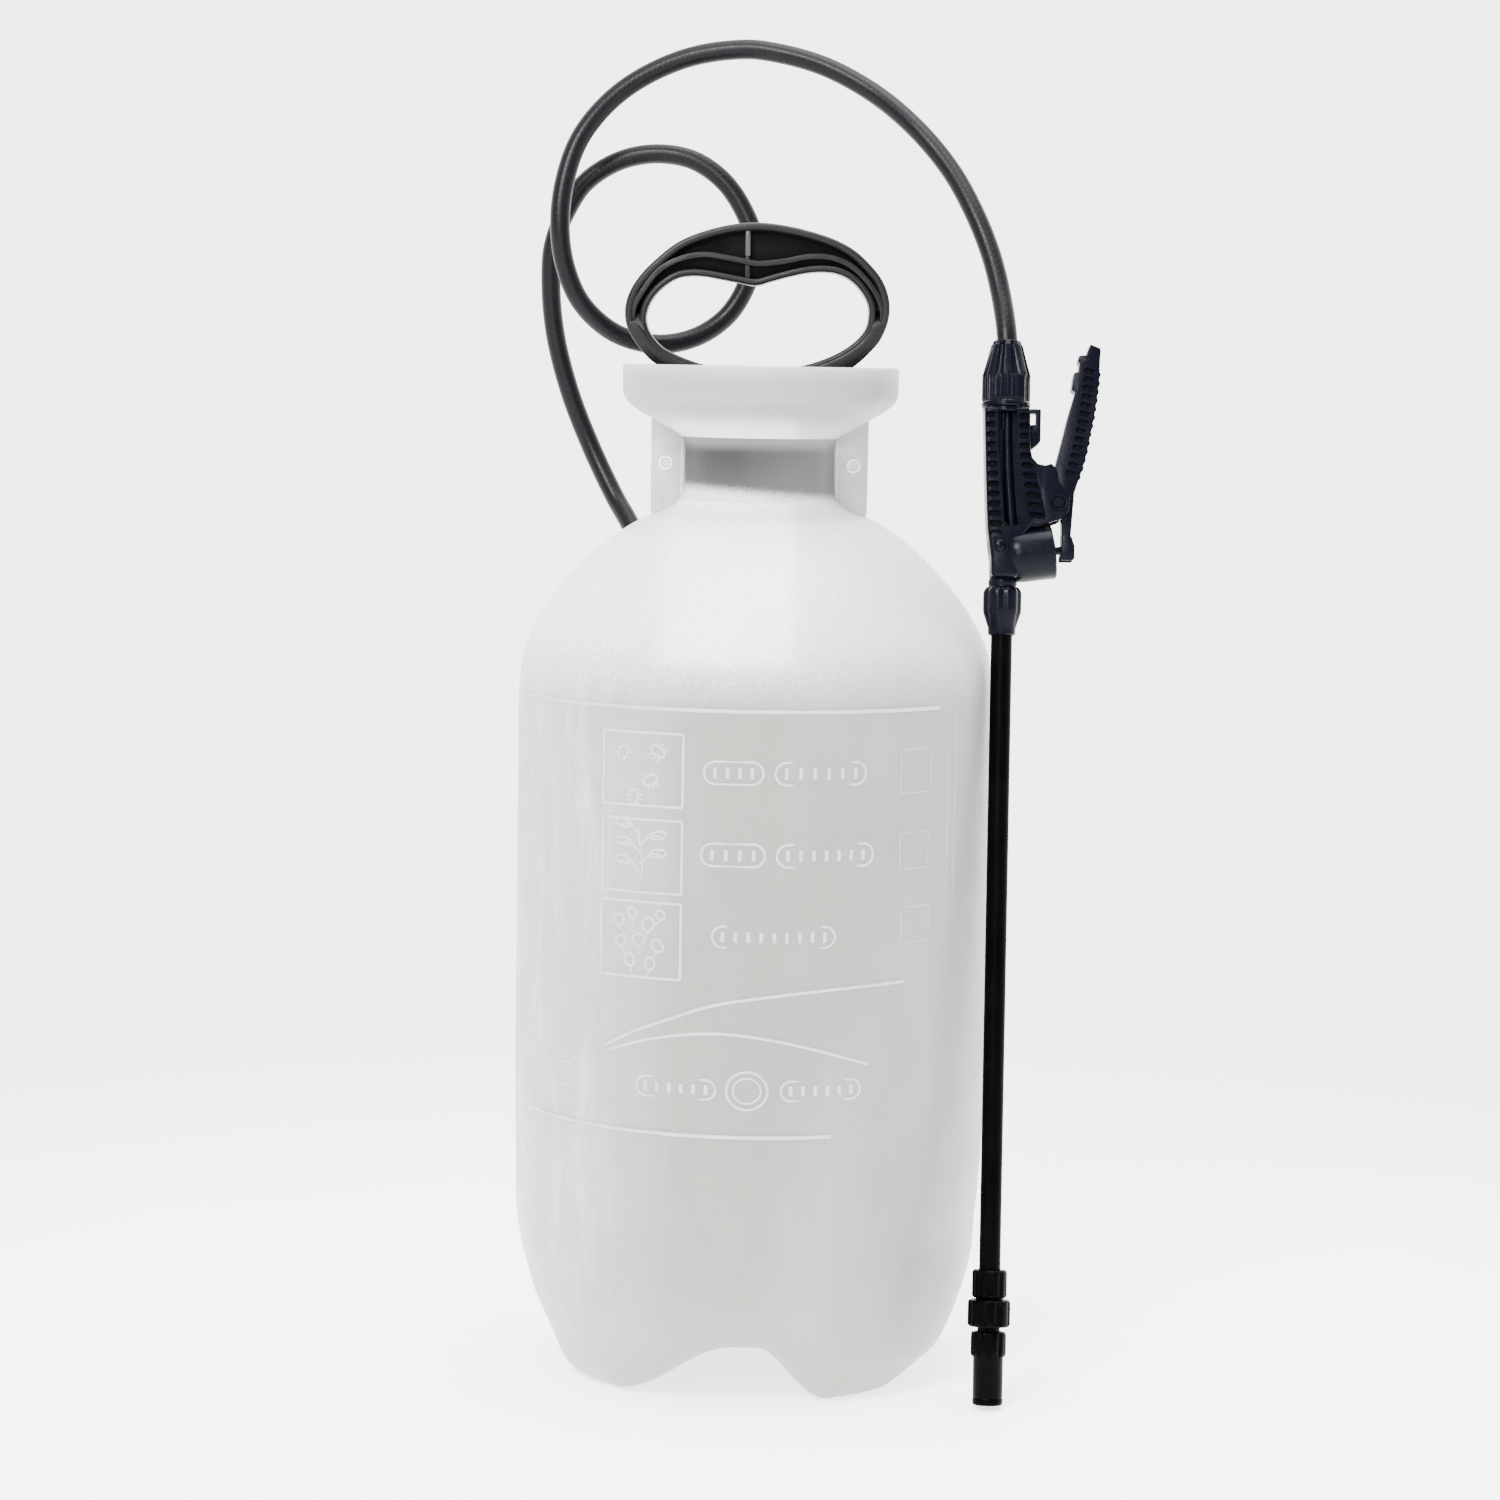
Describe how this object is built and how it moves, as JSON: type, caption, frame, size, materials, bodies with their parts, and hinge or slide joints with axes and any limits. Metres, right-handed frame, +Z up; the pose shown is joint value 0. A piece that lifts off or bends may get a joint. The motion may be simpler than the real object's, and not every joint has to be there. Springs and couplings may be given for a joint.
{
  "type": "pump sprayer",
  "caption": "Hand pump sprayer with a translucent blow-moulded tank, lift-out pump with oval handle, hose, squeeze shut-off grip, straight wand and adjustable nozzle.",
  "frame": {"origin": "centre of the footprint of the rigid parts, on the ground the feet stand on", "axes": "+Z up along the tank's axis, -Y toward the front with the raised panel, +X toward the wand"},
  "size_m": [0.2297, 0.1932, 0.537],
  "materials": {
    "tank_hdpe": "translucent milky polyethylene with a fine pebbled skin",
    "black_nylon": "black glass-filled nylon, satin",
    "handle_plastic": "black moulded plastic, satin",
    "pump_plastic": "dark grey moulded plastic",
    "hose_rubber": "matte charcoal reinforced hose",
    "seal_rubber": "black soft rubber",
    "clear_plastic": "natural polyethylene",
    "spring_steel": "stainless steel"
  },
  "bodies": {
    "tank": {"tank": "tank_hdpe", "outlet_gasket": "seal_rubber", "outlet_fitting": "black_nylon", "outlet_locknut": "black_nylon", "tank_hose_nut": "black_nylon", "supply_tube": "clear_plastic", "strainer": "clear_plastic", "hose": "hose_rubber", "gun_hose_nut": "black_nylon", "gun_hose_barb": "black_nylon", "gun_filter": "clear_plastic", "gun_body": "black_nylon", "valve_gland": "black_nylon", "valve_spring": "spring_steel", "lever_pin": "spring_steel", "wand_nut": "black_nylon", "wand_seal": "seal_rubber", "wand_tube": "black_nylon", "nozzle_nut": "black_nylon", "nozzle_body": "black_nylon", "nozzle_core": "black_nylon"},
    "pump_seal": {"pump_gasket": "seal_rubber"},
    "pump": {"pump_cap": "pump_plastic", "pump_barrel": "pump_plastic", "rod_guide": "black_nylon", "barrel_foot": "black_nylon"},
    "check_valve": {"check_valve": "seal_rubber"},
    "plunger": {"cup_seal": "seal_rubber"},
    "handle": {"pump_handle": "handle_plastic", "pump_rod": "black_nylon", "plunger_head_upper": "black_nylon", "plunger_head_lower": "black_nylon"},
    "trigger": {"trigger_lever": "black_nylon"},
    "valve": {"valve_stem": "spring_steel", "valve_oring": "seal_rubber"},
    "nozzle_seal": {"nozzle_oring": "seal_rubber"},
    "nozzle_cap": {"nozzle_cap": "black_nylon"}
  },
  "joints": [
    {"name": "pump_lift", "type": "slide", "parent": "tank", "child": "pump_seal", "axis": [0, 0, 1], "range_m": [0, 0.345]},
    {"name": "pump_turn", "type": "hinge", "parent": "pump_seal", "child": "pump", "pos_m": [-0.0197, 0, 0.38], "axis": [0, 0, 1], "range_deg": [0, 540]},
    {"name": "plunger_stroke", "type": "slide", "parent": "pump", "child": "plunger", "axis": [0, 0, 1], "range_m": [0, 0.21]},
    {"name": "handle_turn", "type": "hinge", "parent": "plunger", "child": "handle", "pos_m": [-0.0197, 0, 0.39], "axis": [0, 0, 1], "continuous": true},
    {"name": "check_valve_open", "type": "slide", "parent": "pump", "child": "check_valve", "axis": [0, 0, -1], "range_m": [0, 0.0015], "stiffness_N_per_m": 200},
    {"name": "trigger_squeeze", "type": "hinge", "parent": "tank", "child": "trigger", "pos_m": [0.09839, -0.01617, 0.35044], "axis": [0.001, -0.9867, 0.1628], "range_deg": [0, 14], "stiffness_Nm_per_rad": 1.2, "springref_deg": -8.59},
    {"name": "valve_stroke", "type": "slide", "parent": "tank", "child": "valve", "axis": [0.9911, 0.0227, 0.1311], "range_m": [0, 0.0052], "deforming": ["valve_spring"]},
    {"name": "nozzle_advance", "type": "slide", "parent": "tank", "child": "nozzle_seal", "axis": [0.0062, 0.1628, 0.9866], "range_m": [0, 0.0015]},
    {"name": "nozzle_turn", "type": "hinge", "parent": "nozzle_seal", "child": "nozzle_cap", "pos_m": [0.0752, -0.0738, 0.0013], "axis": [0.0062, 0.1628, 0.9866], "range_deg": [0, 359]}
  ],
  "couplings": [
    {"joint": "valve_stroke", "follows": "trigger_squeeze", "m_per_rad": 0.021},
    {"joint": "nozzle_advance", "follows": "nozzle_turn", "m_per_rad": 0.000239}
  ]
}
